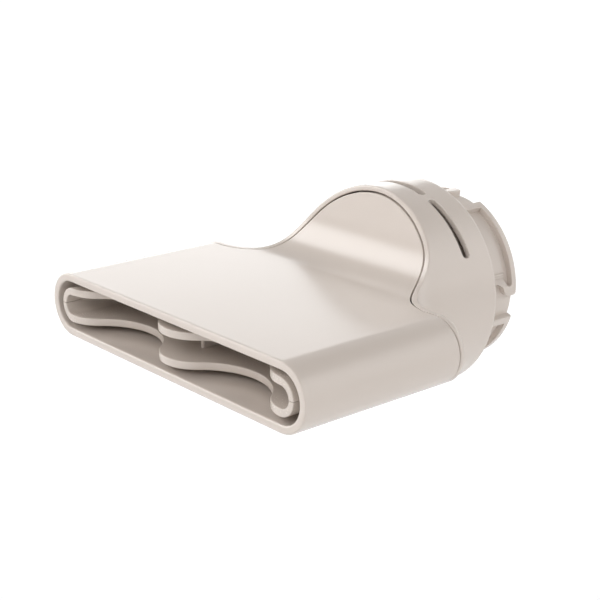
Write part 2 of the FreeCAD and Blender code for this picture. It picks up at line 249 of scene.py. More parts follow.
class Form:
    """The nozzle's surfaces, worked out from the sizes."""

    def __init__(self, sizes):
        self.s = s = sizes
        self.half_height = s.mouth_height / 2
        self.half_width = s.mouth_width / 2
        self.crest_spacing = self.half_width - self.half_height
        self.rim = s.collar_radius + s.flare_radius
        self.hood_start = s.blade_length + s.hood_lead
        self.flange_back = s.blade_length + s.collar_wall
        self.body_length = s.blade_length + s.collar_length
        self.socket_radius = s.collar_radius - s.collar_wall
        self.shell_inset = s.collar_wall + s.seam_gap
        self.vent_centre = self.body_length - s.vent_to_seat
        self.tube_end = self.vent_centre - s.vent_width / 2 - s.vent_lead
        self.plate_front = self.body_length - s.plate_thickness
        self.ring_radius = s.ring_bore + s.ring_wall
        self.ring_end = self.body_length + s.ring_length
        self.lug_radius = self.ring_radius + s.lug_height
        self.lug_front = self.body_length + s.lug_channel
        self.duct_inset = s.shell_wall + s.air_gap
        self.duct_half_width = self.half_width - s.shell_wall - s.end_gap
        self.duct_radius = s.collar_radius - self.shell_inset - self.duct_inset
        self.duct_end = self.plate_front + s.socket_depth

    def hood(self, y, inset):
        """Height of the upper hood at y, moved inwards by inset."""
        s = self.s
        radius = s.hood_radius + inset
        bend = radius * math.sin(s.hood_slope)
        run = np.maximum(np.asarray(y) - self.hood_start, 0.0)
        on_arc = self.half_height + s.hood_radius - np.sqrt(radius ** 2 - np.minimum(run, bend) ** 2)
        return on_arc + np.maximum(run - bend, 0.0) * math.tan(s.hood_slope)

    def flare(self, y, inset):
        """Radius of the flared body at y, moved inwards by inset."""
        radius = self.s.flare_radius + inset
        run = max(self.flange_back - inset + radius - y, 0.0)
        return self.rim - math.sqrt(max(radius ** 2 - run ** 2, 0.0))

    def seam_at(self, x, low, inset, flare_inset):
        """Where a line along the wall at x meets the flared body."""
        near, far = self.flange_back - flare_inset, self.body_length
        if math.hypot(x, low) >= self.rim:
            return near
        for _ in range(SEAM_HALVINGS):
            middle = (near + far) / 2
            if math.hypot(x, self.hood(middle, inset)) < self.flare(middle, flare_inset):
                near = middle
            else:
                far = middle
        return near

    def wall_line(self, x, low, inset, start, end, flat):
        """Line along the wall from start to end, over the hood where the wall is flat."""
        y = np.linspace(start, end, WALL_STEPS)
        if flat and end > self.hood_start:
            radius = self.s.hood_radius + inset
            turns = np.linspace(0.0, self.s.hood_slope, HOOD_STEPS)
            sweep = self.hood_start + radius * np.sin(turns)
            level_part = np.linspace(start, max(start, self.hood_start), LEAD_STEPS)
            y = np.concatenate((level_part, np.clip(sweep, start, end)[1:], [end]))
        z = self.hood(y, inset) if flat else np.full(len(y), low)
        return np.stack((np.full(len(y), x), y, z), axis=1)

    def wall(self, place, half_width, inset, flare_inset, gap=0.0, front=None):
        """Line along a wall from the mouth to the flared body, at a place round the flat slot."""
        across, turn = place
        radius = self.half_height - inset
        tilt = turn * math.acos(gap / radius)
        x = across * (half_width - radius) + radius * math.sin(tilt)
        low = radius * math.cos(tilt)
        start = front(x) if front else 0.0
        return self.wall_line(x, low, inset, start, self.seam_at(x, low, inset, flare_inset), turn == 0)

    def flare_line(self, point, inset, end, gap=0.0):
        """Line down the flared body from a point on it to the end of its tube."""
        x, y, z = point
        radius = math.hypot(x, z)
        arc = self.s.flare_radius + inset
        plane = self.flange_back - inset
        line = [(radius, y)]
        if radius > self.rim:
            line.append((self.rim, plane))
        if y < plane + arc:
            first = math.acos(min((plane + arc - y) / arc, 1.0))
            for turn in np.linspace(first, math.pi / 2, FLARE_STEPS)[1:]:
                line.append((self.rim - arc * math.sin(turn), plane + arc - arc * math.cos(turn)))
        line.append((self.rim - arc, end))
        azimuth = math.atan2(x, z) / math.acos(gap / radius)
        turns = [azimuth * math.acos(gap / r) for r, _ in line]
        return np.array([(r * math.sin(t), v, r * math.cos(t)) for (r, v), t in zip(line, turns)])

    def scallop(self, x):
        """Front edge of the duct at x."""
        s = self.s
        valley = self.crest_spacing / 2
        crest = (valley ** 2 + s.scallop_depth ** 2) / (2 * s.scallop_depth) - s.scallop_radius
        turn = valley * crest / (crest + s.scallop_radius)
        off = min(abs(x), abs(self.crest_spacing - abs(x)))
        if abs(x) >= self.crest_spacing:
            return s.duct_setback
        if off < turn:
            return s.duct_setback + crest - math.sqrt(crest ** 2 - off ** 2)
        drop = s.scallop_radius - math.sqrt(s.scallop_radius ** 2 - (valley - off) ** 2)
        return s.duct_setback + s.scallop_depth - drop

    def hook(self, y):
        """How far a lug's hooked end stands back from its tip at y, as a turn."""
        s = self.s
        start, end = self.body_length + s.hook_start, self.body_length + s.hook_end
        width = self.lug_radius * math.sin(s.hook_span)
        bend = (end - start) / 2 / math.sin(2 * math.atan2(width, end - start))
        run = min(max(y - start, 0.0), end - start)
        swing = bend - math.sqrt(bend ** 2 - min(run, end - start - run) ** 2)
        back = width - swing if run < (end - start) / 2 else swing
        past = max(y - self.ring_end + s.hook_corner, 0.0)
        corner = s.hook_corner - math.sqrt(max(s.hook_corner ** 2 - past ** 2, 0.0))
        return (back + corner) / self.lug_radius


def spread(start, end, number):
    return list(np.linspace(start, end, number))


# Shares of a line's length at which a piece gets a row of points
ENDS = [0.0, 1.0]
BRIEF = [0.0, 0.06, 0.5, 0.94, 1.0]
RUN = [0.0, 0.004, 0.015] + spread(0.05, 0.6, 10) + spread(0.62, 0.985, 60) + [0.992, 0.997, 1.0]
INNER_RUN = [0.0, 0.006, 0.03] + spread(0.08, 0.92, 30) + [0.97, 0.994, 1.0]
BODY = [0.0, 0.006, 0.02] + spread(0.05, 0.95, 44) + [0.98, 0.994, 1.0]
TUBE = [0.0, 0.012] + spread(0.05, 0.95, 20) + [0.988, 1.0]
CORNER = [0.2, 0.4, 0.6, 0.8]


def slot_places(flat_number, end_number):
    """Places over the upper half of a flat slot, from its right end to its left end.

    Each is a share of the flat's half width, and a share of the quarter turn down its round end.
    """
    turns = spread(1.0, 0.0, end_number)[:-1]
    flat = [(f, 0.0) for f in spread(1.0, -1.0, flat_number)]
    return [(1.0, t) for t in turns] + flat + [(-1.0, -t) for t in turns[::-1]]


def rounded_loop(sides, edges, shares):
    """Closed loop of points along sides that meet in corners, with the corner after each side rounded."""
    runs = []
    for k, side in enumerate(sides):
        side = np.asarray(side, dtype=float)
        way = np.concatenate(([0.0], np.cumsum(np.linalg.norm(np.diff(side, axis=0), axis=1))))
        at = edges[k - 1] + np.asarray(shares[k]) * (way[-1] - edges[k - 1] - edges[k])
        runs.append(np.stack([np.interp(at, way, side[:, n]) for n in range(3)], axis=1))
    loop = []
    for k, run in enumerate(runs):
        loop.extend(run)
        tip = np.asarray(sides[k][-1])
        after = runs[(k + 1) % len(runs)][0]
        loop.extend((1 - t) ** 2 * run[-1] + 2 * t * (1 - t) * tip + t * t * after for t in CORNER)
    return np.array(loop)


def grid_faces(columns, rows, closed):
    """Faces between neighbouring loops of points."""
    faces = []
    for i in range(columns if closed else columns - 1):
        n = (i + 1) % columns
        for j in range(rows):
            k = (j + 1) % rows
            faces.append((i * rows + j, n * rows + j, n * rows + k, i * rows + k))
    return faces


def make_piece(name, parts):
    """Closed mesh object from parts of points and faces, moved from the mouth's frame to the seat's."""
    work = bmesh.new()
    for points, faces in parts:
        verts = [work.verts.new(p) for p in points]
        for face in faces:
            work.faces.new([verts[k] for k in face])
    bmesh.ops.remove_doubles(work, verts=work.verts, dist=MERGE_DISTANCE)
    bmesh.ops.dissolve_degenerate(work, edges=work.edges, dist=SHORTEST_EDGE)
    bmesh.ops.recalc_face_normals(work, faces=work.faces)
    if any(not edge.is_manifold for edge in work.edges):
        work.free()
        raise RuntimeError(name + " is not closed")
    bmesh.ops.translate(work, verts=work.verts, vec=(0, -nozzle_form().body_length, 0))
    mesh = bpy.data.meshes.new(name)
    work.to_mesh(mesh)
    work.free()
    mesh.shade_smooth()
    piece = bpy.data.objects.new(name, mesh)
    bpy.context.scene.collection.objects.link(piece)
    return piece


def both_ways(loops):
    """Loops of the upper half, and their mirror images below, all the way round."""
    below = [loop * (1, 1, -1) for loop in loops[-2:0:-1]]
    return loops + below


def closed_grid(loops):
    points = np.concatenate(loops)
    return points, grid_faces(len(loops), len(loops[0]), True)


def nozzle_form():
    return Form(bpy.context.scene.nozzle_sizes)


def finish_piece(piece, node):
    """Sharp edges where walls meet at an angle, and the piece's place in the frame."""
    piece.data.set_sharp_from_angle(angle=math.radians(SHARP_ANGLE))
    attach(piece, "root")
    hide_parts(node)


def round_axis(radius, turn, y):
    """Point at a turn round the air axis; a turn of zero is straight up."""
    return np.array((radius * math.sin(turn), y, radius * math.cos(turn)))


def closed_sides(corners):
    """Straight sides from each corner to the next, and back to the first."""
    return list(zip(corners, corners[1:] + corners[:1]))


def wall_sides(outer, out_tube, inner, in_tube):
    """Sides of a section through a wall and its tube, from the rim at the mouth and back to it."""
    return [(inner[0], outer[0]), outer, out_tube, (out_tube[-1], in_tube[-1]), in_tube[::-1], inner[::-1]]


def shell_loop(form, place):
    """Section through the shell's wall at one place round it."""
    s = form.s
    outer = form.wall(place, form.half_width, 0.0, form.shell_inset)
    inner = form.wall(place, form.half_width - s.shell_wall, s.shell_wall, form.shell_inset + s.shell_wall)
    out_tube = form.flare_line(outer[-1], form.shell_inset, form.tube_end)
    in_tube = form.flare_line(inner[-1], form.shell_inset + s.shell_wall, form.tube_end)
    sides = wall_sides(outer, out_tube, inner, in_tube)
    edges = [s.mouth_edge, s.seam_edge, s.hidden_edge, s.hidden_edge, s.hidden_edge, s.mouth_edge]
    return rounded_loop(sides, edges, [ENDS, RUN, TUBE, ENDS, TUBE, INNER_RUN])


def collar_loop(form, place):
    """Section through the collar's wall at one place round it."""
    s = form.s
    across, turn = place
    tilt = turn * math.pi / 2
    x = across * form.crest_spacing + form.half_height * math.sin(tilt)
    low = form.half_height * math.cos(tilt)
    ends = [form.seam_at(x, low, 0.0, inset) for inset in (s.collar_wall, 0.0)]
    lip = form.wall_line(x, low, 0.0, ends[0], ends[1], turn == 0)
    outside = form.flare_line(lip[-1], 0.0, form.body_length)
    inside = form.flare_line(lip[0], s.collar_wall, form.tube_end)[::-1]
    azimuth = math.atan2(outside[-1][0], outside[-1][2])
    bore, rib = form.socket_radius, form.socket_radius - s.rib_depth
    profile = [(bore, form.body_length), (bore, form.plate_front), (rib, form.plate_front),
               (rib, form.plate_front - s.rib_width), (bore, form.plate_front - s.rib_width),
               (bore, form.tube_end + s.rib_width), (rib, form.tube_end + s.rib_width), (rib, form.tube_end)]
    steps = [outside[-1]] + [round_axis(radius, azimuth, y) for radius, y in profile] + [inside[0]]
    sides = [lip, outside] + list(zip(steps[:-1], steps[1:])) + [inside]
    inner_edges = [s.hidden_edge] * (len(steps) - 1)
    edges = [s.lip_edge, s.collar_edge] + inner_edges + [s.lip_edge]
    shares = [BRIEF, BODY] + [ENDS] * (len(steps) - 1) + [TUBE]
    return rounded_loop(sides, edges, shares)


def tower(loops, paired=0):
    """Points and faces of a solid from neighbouring loops, with both ends filled across.

    The first points of a loop are paired with its last ones; what is left between them is one face.
    """
    number = len(loops[0])
    paired = paired or number // 2
    faces = grid_faces(len(loops), number, False)
    for a in (0, (len(loops) - 1) * number):
        faces += [(a + j, a + j + 1, a + number - 2 - j, a + number - 1 - j) for j in range(paired - 1)]
        if 2 * paired < number:
            faces.append(tuple(range(a + paired - 1, a + number - paired + 1)))
    return np.concatenate(loops), faces


def rim_levels(bottom, top, edge):
    """Radius and widening of a cutter's levels, so that it rounds the rim of what it cuts."""
    bends = [math.radians(a) for a in RIM_BENDS]
    rim = [(top - edge * (1 - math.sin(b)), edge * (1 - math.cos(b))) for b in bends]
    return [(bottom, 0.0)] + rim + [(top * CUTTER_OVERRUN, edge)]


def slot_cutter(bottom, top, y, width, span, edge):
    """Points and faces of a cutter for a slot with round ends, centred straight up."""
    half = width / 2
    reach = span / 2 - half / top
    stations = [(-1, b) for b in spread(math.pi, math.pi / 2, SLOT_END_STEPS)]
    stations += [(f, math.pi / 2) for f in spread(-1.0, 1.0, SLOT_STEPS)[1:-1]]
    stations += [(1, b) for b in spread(math.pi / 2, 0.0, SLOT_END_STEPS)]
    loops = []
    for radius, extra in rim_levels(bottom, top, edge):
        wide = half + extra
        side = [(f * reach + wide * math.cos(b) / top, wide * math.sin(b)) for f, b in stations]
        loop = side + [(turn, -off) for turn, off in side[::-1]]
        loops.append([round_axis(radius, turn, y + off) for turn, off in loop])
    return tower(loops)


def pocket_cutter(form, span, bottom):
    """Points and faces of a cutter for a lug's pocket, with its ramp and the groove that runs on by the rail."""
    s = form.s
    front, rear = form.lug_front - s.rail_width, form.ring_end - s.rail_width
    half = s.groove_width / 2
    groove_end = span - s.groove_to_tip - half / form.lug_radius
    levels = rim_levels(bottom, form.lug_radius, s.pocket_edge)
    levels[1:1] = [(form.ring_radius + f * s.lug_height, 0.0) for f in spread(0.0, RAMP_TOP, RAMP_LEVELS)]
    loops = []
    for radius, extra in levels:
        climb = min(max((radius - form.ring_radius) / s.lug_height, 0.0), 1.0)
        last = span - s.ramp_to_tip + climb * s.ramp_span
        turns = spread(s.block_span - extra / form.lug_radius, last, POCKET_STEPS)
        wide = half + extra
        loop = [(turn, front) for turn in turns] + [(last, rear - half - wide)]
        loop += [(max(last, groove_end + wide * math.cos(b) / form.lug_radius), rear - half + wide * math.sin(b))
                 for b in spread(-math.pi / 2, math.pi / 2, GROOVE_END_STEPS)]
        loop += [(turn, rear + extra) for turn in turns[::-1]]
        loops.append([round_axis(radius, turn, y) for turn, y in loop])
    return tower(loops, len(turns))


def band_part(first, last, bottom, top, front, rear, edge, back=None):
    """Points and faces of a raised band round the axis, with rounded edges; back pulls its end back at y."""
    bends = [math.radians(a) for a in BAND_BENDS]
    rounding = [(edge * (1 - math.cos(b)) / top, edge * (1 - math.sin(b))) for b in bends]
    inset, root_edge = edge / top, edge / 3
    steps = max(FEWEST_BAND_STEPS, int((last - first) * BAND_STEPS_PER_RADIAN))
    columns = [(off, 0.0, drop) for off, drop in rounding]
    columns += [(inset * (1 - 2 * f), f, 0.0) for f in spread(0.0, 1.0, steps)[1:-1]]
    columns += [(-off, 1.0, drop) for off, drop in rounding[::-1]]
    across = spread(0.0, 1.0, HOOK_ROWS if back else PLAIN_ROWS)
    loops = []
    for off, part, drop in columns:
        corners = [np.array(c) for c in ((bottom, front, 0), (top - drop, front, 0), (top - drop, rear, 0),
                                         (bottom, rear, 0))]
        flat = rounded_loop(closed_sides(corners), [edge, edge, root_edge, root_edge], [ENDS, across, ENDS, across])
        loop = []
        for radius, y, _ in np.roll(flat, -1, axis=0):
            span = last - first - (back(y) if back else 0.0)
            loop.append(round_axis(radius, first + off + part * span, y))
        loops.append(loop)
    return tower(loops)


def ring_part(form):
    """Points and faces of the plate and its ring, turned about the axis."""
    s = form.s
    plate = form.socket_radius - s.plate_clearance
    socket = form.duct_radius + s.socket_clearance
    profile = [(plate, form.plate_front), (plate, form.body_length), (form.ring_radius, form.body_length),
               (form.ring_radius, form.ring_end), (s.ring_bore, form.ring_end), (s.ring_bore, form.duct_end),
               (socket, form.duct_end), (socket, form.plate_front)]
    edges = [s.ring_edge / 2, s.ring_edge, s.ring_edge, s.ring_edge] + [s.hidden_edge] * 4
    loops = []
    for turn in spread(0.0, 2 * math.pi, RING_PLACES + 1)[:-1]:
        corners = [round_axis(radius, turn, y) for radius, y in profile]
        loops.append(rounded_loop(closed_sides(corners), edges, [BRIEF] * len(corners)))
    return closed_grid(loops)


def duct_loop(form, place):
    """Section through the duct's wall at one place over its upper half."""
    s = form.s
    gap = s.parting_gap / 2
    inset = form.duct_inset + s.duct_wall
    outer = form.wall(place, form.duct_half_width, form.duct_inset, form.shell_inset + form.duct_inset,
                      gap, form.scallop)
    inner = form.wall(place, form.duct_half_width - s.duct_end_wall, inset, form.shell_inset + inset,
                      gap, form.scallop)
    out_tube = form.flare_line(outer[-1], form.shell_inset + form.duct_inset, form.duct_end, gap)
    in_tube = form.flare_line(inner[-1], form.shell_inset + inset, form.duct_end, gap)
    sides = wall_sides(outer, out_tube, inner, in_tube)
    edges = [s.duct_edge] + [s.hidden_edge] * 4 + [s.duct_edge]
    loop = rounded_loop(sides, edges, [ENDS, INNER_RUN, TUBE, ENDS, TUBE, INNER_RUN])
    return np.roll(loop, -1, axis=0)


def duct_part(form, side):
    """Points and faces of one half of the duct, with its parting faces."""
    return tower([duct_loop(form, place) * (1, 1, side) for place in slot_places(FLAT_PLACES, END_PLACES)])


def vane_part(form, side):
    """Points and faces of one half of the vane, from the parting line into the duct's wall."""
    s = form.s
    nose = s.vane_thickness / 2
    front = s.vane_setback
    back = front + s.vane_length
    outline = [(nose * math.sin(b), front + nose - nose * math.cos(b))
               for b in spread(-math.pi / 2, math.pi / 2, NOSE_STEPS)]
    outline += [(nose, y) for y in spread(front + nose, back, VANE_STEPS)[1:]]
    outline += [(-nose, y) for y in spread(back, front + nose, VANE_STEPS)[:-1]]
    heights = (s.parting_gap / 2, form.half_height - form.duct_inset - s.duct_wall / 2)
    points = [(x, y, side * z) for z in heights for x, y in outline]
    n = len(outline)
    faces = [(i, (i + 1) % n, n + (i + 1) % n, n + i) for i in range(n)]
    return points, faces + [tuple(range(n)), tuple(range(n, 2 * n))]


def new_tree(name, sockets):
    """Geometry tree with named inputs."""
    tree = bpy.data.node_groups.new(name, "GeometryNodeTree")
    tree.interface.new_socket("Geometry", in_out="OUTPUT", socket_type="NodeSocketGeometry")
    tree.interface.new_socket("Geometry", in_out="INPUT", socket_type="NodeSocketGeometry")
    for label, kind in sockets:
        tree.interface.new_socket(label, in_out="INPUT", socket_type=kind)
    return tree, tree.nodes.new("NodeGroupInput"), tree.nodes.new("NodeGroupOutput")


def link(tree, source, target):
    tree.links.new(source, target)


def feed(tree, value, target):
    """Gives an input its value, from another socket or as a number."""
    if isinstance(value, bpy.types.NodeSocket):
        link(tree, value, target)
    else:
        target.default_value = value


def math_node(tree, operation, first, second=0.0):
    """Maths on two inputs, each a socket or a number."""
    node = tree.nodes.new("ShaderNodeMath")
    node.operation = operation
    for target, value in zip(node.inputs, (first, second)):
        feed(tree, value, target)
    return node.outputs[0]


def dot_node(tree, facing, towards):
    """How far one direction points along another."""
    node = tree.nodes.new("ShaderNodeVectorMath")
    node.operation = "DOT_PRODUCT"
    link(tree, facing, node.inputs[0])
    node.inputs[1].default_value = towards
    return node.outputs["Value"]


def level_direction(turn):
    """Direction in the level plane, from the turn in degrees."""
    return math.cos(math.radians(turn)), math.sin(math.radians(turn)), 0.0


def fade_node(tree, value, start, end, before, after):
    """Goes softly from before to after while the value goes from start to end."""
    node = tree.nodes.new("ShaderNodeMapRange")
    node.interpolation_type = "SMOOTHSTEP"
    link(tree, value, node.inputs["Value"])
    for label, number in (("From Min", start), ("From Max", end), ("To Min", before), ("To Max", after)):
        node.inputs[label].default_value = number
    return node.outputs[0]


def object_shape(tree, socket):
    node = tree.nodes.new("GeometryNodeObjectInfo")
    link(tree, socket, node.inputs["Object"])
    return node.outputs["Geometry"]


def turned_copies(tree, shape, number, turn):
    """Copies of a shape turned about the air axis."""
    points = tree.nodes.new("GeometryNodePoints")
    link(tree, number, points.inputs["Count"])
    turns = tree.nodes.new("ShaderNodeCombineXYZ")
    link(tree, turn, turns.inputs["Y"])
    copies = tree.nodes.new("GeometryNodeInstanceOnPoints")
    link(tree, points.outputs[0], copies.inputs["Points"])
    link(tree, shape, copies.inputs["Instance"])
    link(tree, turns.outputs[0], copies.inputs["Rotation"])
    return realized(tree, copies.outputs[0])


def realized(tree, shape):
    node = tree.nodes.new("GeometryNodeRealizeInstances")
    link(tree, shape, node.inputs[0])
    return node.outputs[0]


def cut_away(tree, body, cutter):
    node = tree.nodes.new("GeometryNodeMeshBoolean")
    node.operation = "DIFFERENCE"
    node.solver = "EXACT"
    link(tree, body, node.inputs["Mesh 1"])
    link(tree, cutter, node.inputs["Mesh 2"])
    return node.outputs["Mesh"]


def end_tree(tree, shape, material, group_out):
    node = tree.nodes.new("GeometryNodeSetMaterial")
    link(tree, realized(tree, shape), node.inputs["Geometry"])
    link(tree, material, node.inputs["Material"])
    link(tree, node.outputs[0], group_out.inputs[0])


def vent_tree():
    """Tree that cuts the vents through the collar, in a group above and a group below."""
    tree, group_in, group_out = new_tree("Collar vents", [
        ("Cutter", "NodeSocketObject"), ("Vents per group", "NodeSocketInt"),
        ("Pitch above", "NodeSocketFloat"), ("Pitch below", "NodeSocketFloat"), ("Plastic", "NodeSocketMaterial")])
    get = group_in.outputs
    index = tree.nodes.new("GeometryNodeInputIndex").outputs[0]
    group = math_node(tree, "FLOOR", math_node(tree, "DIVIDE", index, get["Vents per group"]))
    place = math_node(tree, "SUBTRACT", index, math_node(tree, "MULTIPLY", group, get["Vents per group"]))
    middle = math_node(tree, "MULTIPLY", math_node(tree, "SUBTRACT", get["Vents per group"], 1.0), 0.5)
    change = math_node(tree, "SUBTRACT", get["Pitch below"], get["Pitch above"])
    pitch = math_node(tree, "ADD", get["Pitch above"], math_node(tree, "MULTIPLY", group, change))
    step = math_node(tree, "MULTIPLY", math_node(tree, "SUBTRACT", place, middle), pitch)
    turn = math_node(tree, "ADD", step, math_node(tree, "MULTIPLY", group, math.pi))
    number = math_node(tree, "MULTIPLY", get["Vents per group"], 2.0)
    cutters = turned_copies(tree, object_shape(tree, get["Cutter"]), number, turn)
    end_tree(tree, cut_away(tree, get["Geometry"], cutters), get["Plastic"], group_out)
    return tree


def lug_tree():
    """Tree that cuts a lug's pocket, adds its detent and sets copies of it evenly round the ring."""
    tree, group_in, group_out = new_tree("Bayonet lugs", [
        ("Lug", "NodeSocketObject"), ("Pocket", "NodeSocketObject"), ("Detent", "NodeSocketObject"),
        ("Lug count", "NodeSocketInt"), ("First lug", "NodeSocketFloat"), ("Plastic", "NodeSocketMaterial")])
    get = group_in.outputs
    lug = tree.nodes.new("GeometryNodeJoinGeometry")
    link(tree, cut_away(tree, object_shape(tree, get["Lug"]), object_shape(tree, get["Pocket"])), lug.inputs[0])
    link(tree, object_shape(tree, get["Detent"]), lug.inputs[0])
    index = tree.nodes.new("GeometryNodeInputIndex").outputs[0]
    step = math_node(tree, "DIVIDE", 2 * math.pi, get["Lug count"])
    turn = math_node(tree, "ADD", math_node(tree, "MULTIPLY", index, step), get["First lug"])
    whole = tree.nodes.new("GeometryNodeJoinGeometry")
    link(tree, turned_copies(tree, lug.outputs[0], get["Lug count"], turn), whole.inputs[0])
    link(tree, get["Geometry"], whole.inputs[0])
    end_tree(tree, whole.outputs[0], get["Plastic"], group_out)
    return tree


def run_tree(piece, tree, values, tools):
    """Turns a piece into what its tree makes of it, and clears the tools away."""
    modifier = piece.modifiers.new(tree.name, "NODES")
    modifier.node_group = tree
    for item in tree.interface.items_tree:
        if item.in_out == "INPUT" and item.name in values:
            modifier[item.identifier] = values[item.name]
    graph = bpy.context.evaluated_depsgraph_get()
    mesh = bpy.data.meshes.new_from_object(piece.evaluated_get(graph), depsgraph=graph)
    piece.modifiers.remove(modifier)
    if len(mesh.polygons) <= len(piece.data.polygons):
        raise RuntimeError(tree.name + " changed nothing")
    piece.data = mesh
    mesh.name = piece.name
    for tool in tools:
        bpy.data.objects.remove(tool, do_unlink=True)


def plastic_group():
    """Shader group for moulded plastic: slow drift of tone and roughness, and a fine grain with its relief."""
    found = bpy.data.node_groups.get("Moulded plastic")
    if found:
        return found
    tree = bpy.data.node_groups.new("Moulded plastic", "ShaderNodeTree")
    for label, kind in (("Place", "NodeSocketVector"), ("Colour", "NodeSocketColor"),
                        ("Drift", "NodeSocketFloat"), ("Satin", "NodeSocketFloat"),
                        ("Grain size", "NodeSocketFloat")):
        tree.interface.new_socket(label, in_out="INPUT", socket_type=kind)
    for label, kind in (("Colour", "NodeSocketColor"), ("Roughness", "NodeSocketFloat"),
                        ("Height", "NodeSocketFloat")):
        tree.interface.new_socket(label, in_out="OUTPUT", socket_type=kind)
    get = tree.nodes.new("NodeGroupInput").outputs
    put = tree.nodes.new("NodeGroupOutput").inputs

    def noise(scale):
        node = tree.nodes.new("ShaderNodeTexNoise")
        link(tree, get["Place"], node.inputs["Vector"])
        feed(tree, scale, node.inputs["Scale"])
        node.inputs["Detail"].default_value = NOISE_DETAIL
        return node.outputs["Fac"]

    slow = math_node(tree, "SUBTRACT", noise(DRIFT_SCALE), NOISE_MIDDLE)
    grain = noise(math_node(tree, "DIVIDE", 1.0, get["Grain size"]))
    speck = math_node(tree, "SUBTRACT", grain, NOISE_MIDDLE)
    tone = math_node(tree, "ADD", math_node(tree, "MULTIPLY", slow, get["Drift"]),
                     math_node(tree, "MULTIPLY", speck, math_node(tree, "MULTIPLY", get["Drift"], GRAIN_TONE)))
    scale = tree.nodes.new("ShaderNodeVectorMath")
    scale.operation = "SCALE"
    link(tree, get["Colour"], scale.inputs[0])
    link(tree, math_node(tree, "ADD", tone, 1.0), scale.inputs["Scale"])
    link(tree, scale.outputs[0], put["Colour"])
    rough = math_node(tree, "ADD", get["Satin"], math_node(tree, "MULTIPLY", slow, DRIFT_ROUGHNESS))
    rough = math_node(tree, "ADD", rough, math_node(tree, "MULTIPLY", speck, GRAIN_ROUGHNESS))
    link(tree, rough, put["Roughness"])
    link(tree, grain, put["Height"])
    return tree


def plastic(name, colour_value, satin, texture):
    """Material of one moulded plastic."""
    drift, grain_size, bump = texture
    material = bpy.data.materials.new(name)
    material.use_nodes = True
    tree = material.node_tree
    shader = tree.nodes["Principled BSDF"]
    place = tree.nodes.new("ShaderNodeTexCoord")
    group = tree.nodes.new("ShaderNodeGroup")
    group.node_tree = plastic_group()
    link(tree, place.outputs["Object"], group.inputs["Place"])
    group.inputs["Colour"].default_value = (*colour_value, 1.0)
    group.inputs["Satin"].default_value = satin
    group.inputs["Drift"].default_value = drift
    group.inputs["Grain size"].default_value = grain_size
    link(tree, group.outputs["Colour"], shader.inputs["Base Color"])
    link(tree, group.outputs["Roughness"], shader.inputs["Roughness"])
    relief = tree.nodes.new("ShaderNodeBump")
    relief.inputs["Strength"].default_value = bump
    relief.inputs["Distance"].default_value = RELIEF_HEIGHT
    link(tree, group.outputs["Height"], relief.inputs["Height"])
    link(tree, relief.outputs[0], shader.inputs["Normal"])
    shader.inputs["Specular IOR Level"].default_value = bpy.context.scene.nozzle_finish.sheen
    return material


class NOZZLE_OT_shell(bpy.types.Operator):
    """Build the outer shell: flat blade, swept hoods and the tube inside the collar"""
    bl_idname = "nozzle.shell"
    bl_label = "Nozzle shell"

    def execute(self, context):
        form, look = nozzle_form(), context.scene.nozzle_finish
        loops = both_ways([shell_loop(form, place) for place in slot_places(FLAT_PLACES, SHELL_END_PLACES)])
        piece = make_piece("nozzle_shell_piece", [closed_grid(loops)])
        piece.data.materials.append(plastic("Body satin", look.stone, look.satin, OUTER_TEXTURE))
        finish_piece(piece, "nozzle_shell")
        return {"FINISHED"}


class NOZZLE_OT_collar(bpy.types.Operator):
    """Build the collar with its wavy lip, flared flange, stop ribs and vents"""
    bl_idname = "nozzle.collar"
    bl_label = "Rear collar"

    def execute(self, context):
        form, look = nozzle_form(), context.scene.nozzle_finish
        s = form.s
        loops = both_ways([collar_loop(form, place) for place in slot_places(FLAT_PLACES, END_PLACES)])
        piece = make_piece("rear_collar_piece", [closed_grid(loops)])
        cutter = make_piece("vent_cutter", [slot_cutter(
            form.socket_radius - s.rib_depth / 2, s.collar_radius, form.vent_centre, s.vent_width, s.vent_span,
            s.vent_edge)])
        finish = plastic("Collar satin", look.stone, look.satin, OUTER_TEXTURE)
        run_tree(piece, vent_tree(), {
            "Cutter": cutter, "Vents per group": s.vents_per_group, "Pitch above": s.vent_pitch,
            "Pitch below": s.under_vent_pitch, "Plastic": finish,
        }, [cutter])
        finish_piece(piece, "rear_collar")
        return {"FINISHED"}


class NOZZLE_OT_base(bpy.types.Operator):
    """Build the bayonet base: plate, ring and bracket-shaped lugs"""
    bl_idname = "nozzle.base"
    bl_label = "Bayonet base"

    def execute(self, context):
        form, look = nozzle_form(), context.scene.nozzle_finish
        s = form.s
        piece = make_piece("bayonet_base_piece", [ring_part(form)])
        finish = plastic("Base satin", look.base_stone, look.satin, OUTER_TEXTURE)
        tree = lug_tree()
        root = (s.ring_bore + form.ring_radius) / 2
        lug_end = form.ring_end - s.hidden_edge / 8  # just short of it, so that lug and ring share no face
        half = s.detent_width / 2 / form.ring_radius
        for first, span in ((s.lug_first, s.lug_span), (s.lug_first + s.lug_span + s.lug_gap, s.long_lug_span)):
            lug = make_piece("lug_tool", [band_part(
                0.0, span, root, form.lug_radius, form.lug_front, lug_end, s.ring_edge, form.hook)])
            pocket = make_piece("pocket_tool", [pocket_cutter(form, span, s.ring_bore)])
            rib = span - s.detent_to_tip
            detent = make_piece("detent_tool", [band_part(
                rib - half, rib + half, form.ring_radius - s.detent_height, form.ring_radius + s.detent_height,
                form.lug_front, form.lug_front + s.detent_length, s.detent_height * DETENT_ROUNDING)])
            run_tree(piece, tree, {
                "Lug": lug, "Pocket": pocket, "Detent": detent, "Lug count": LUGS_OF_A_KIND, "First lug": first,
                "Plastic": finish,
            }, [lug, pocket, detent])
        finish_piece(piece, "bayonet_base")
        return {"FINISHED"}


